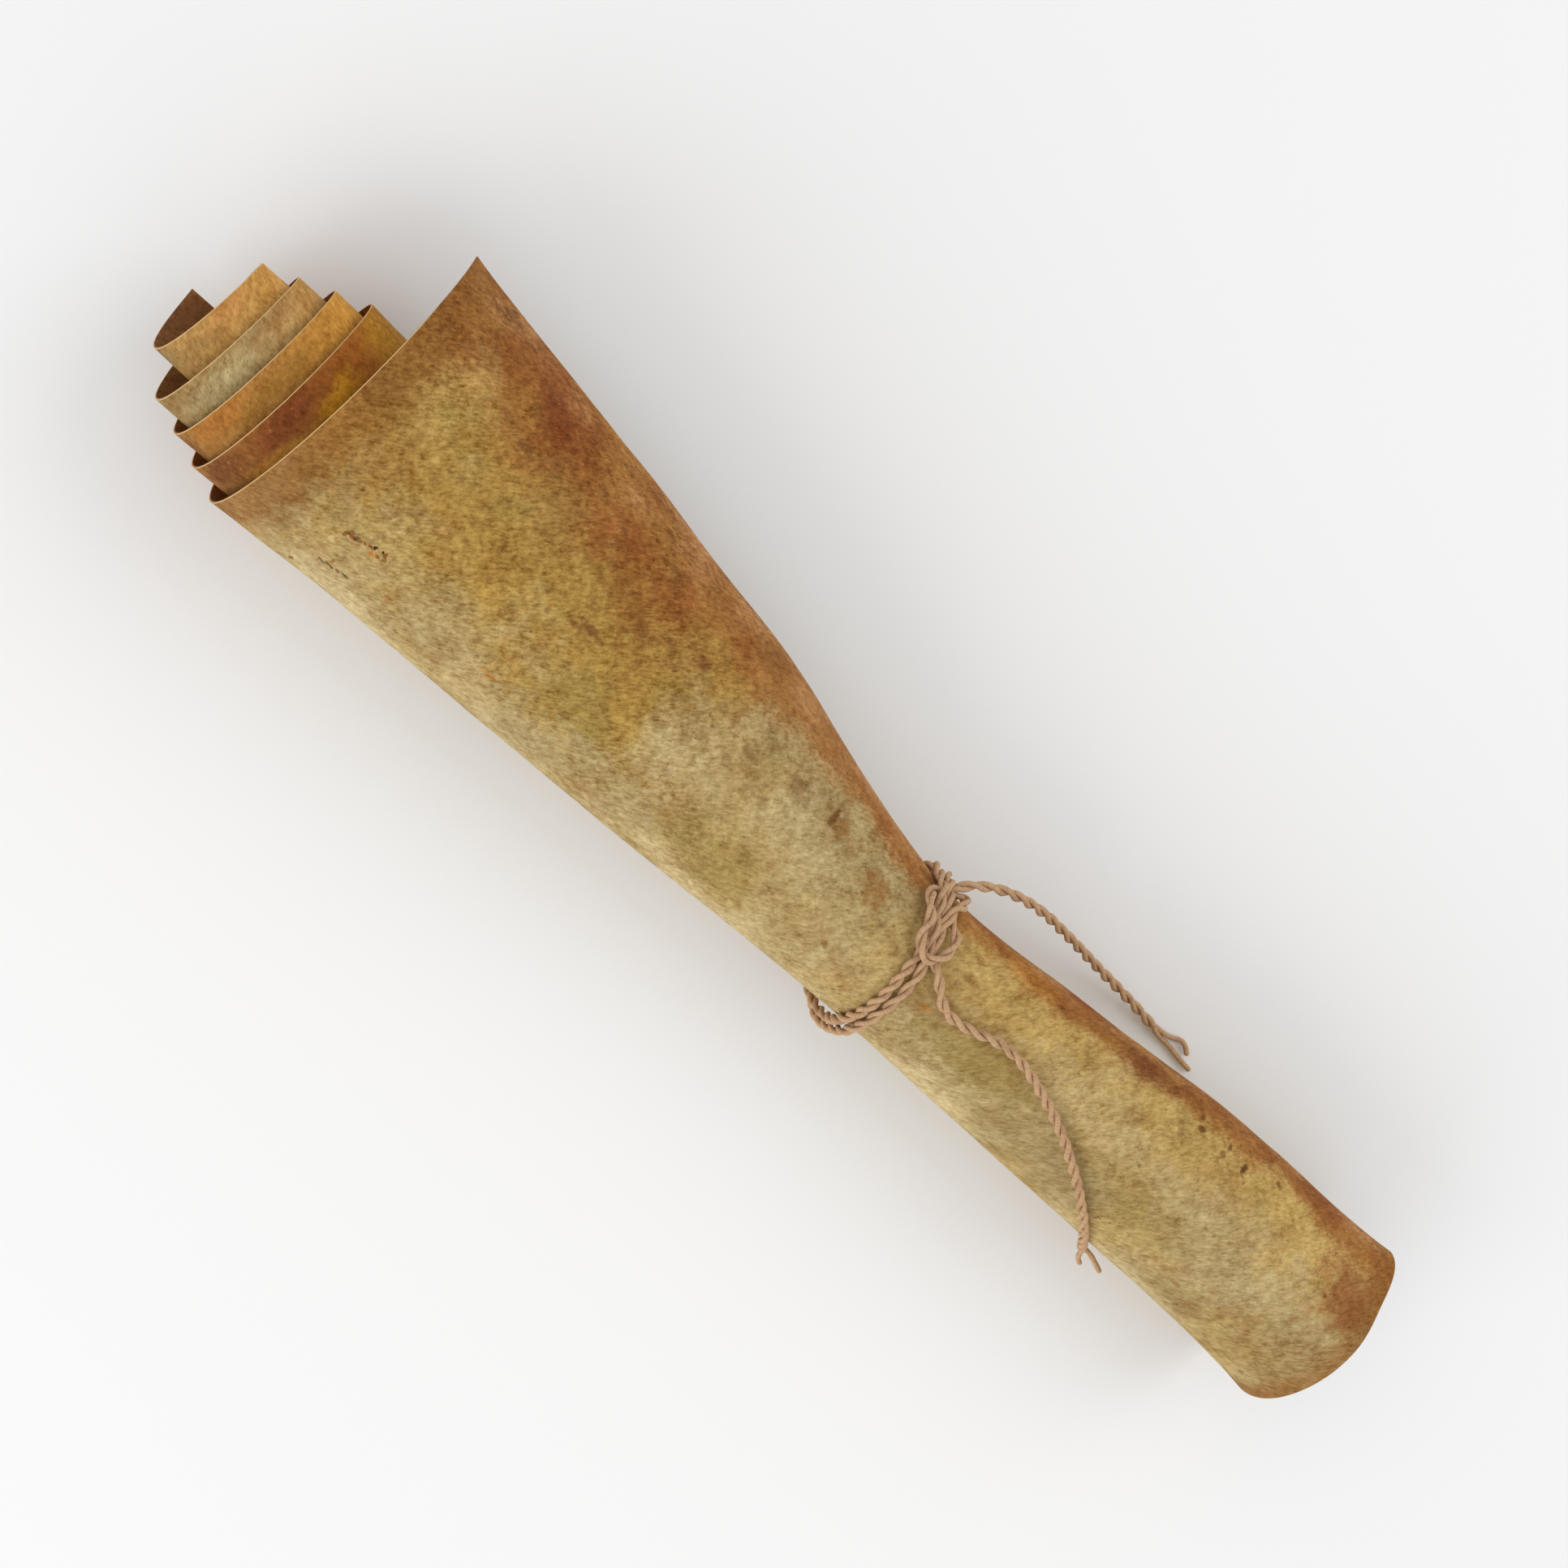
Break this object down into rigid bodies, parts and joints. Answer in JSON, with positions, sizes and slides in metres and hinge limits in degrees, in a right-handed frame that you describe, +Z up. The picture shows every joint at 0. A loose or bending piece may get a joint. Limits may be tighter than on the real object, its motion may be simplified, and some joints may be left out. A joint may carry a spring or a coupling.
{
  "type": "paper scroll",
  "caption": "Old stained parchment sheet rolled into a scroll, its turns slipped apart at the open mouth, pulled in at the waist by a knotted length of twisted twine with free tails.",
  "frame": {"origin": "on the floor, under the middle of the rolled sheet's box", "axes": "+X along the roll from its open mouth to its foot, +Y towards the sheet's free long edge, +Z up from the floor"},
  "size_m": [0.3338, 0.071, 0.0547],
  "materials": {
    "paper": "matte, stained and worn",
    "twine": "matte natural fibre"
  },
  "bodies": {
    "root": {"paper_sheet": "paper", "twine_turn_mouth_side": "twine", "twine_turn_foot_side": "twine", "twine_knot": "twine", "twine_tail_floor": "twine", "twine_tail_front": "twine"}
  },
  "joints": []
}
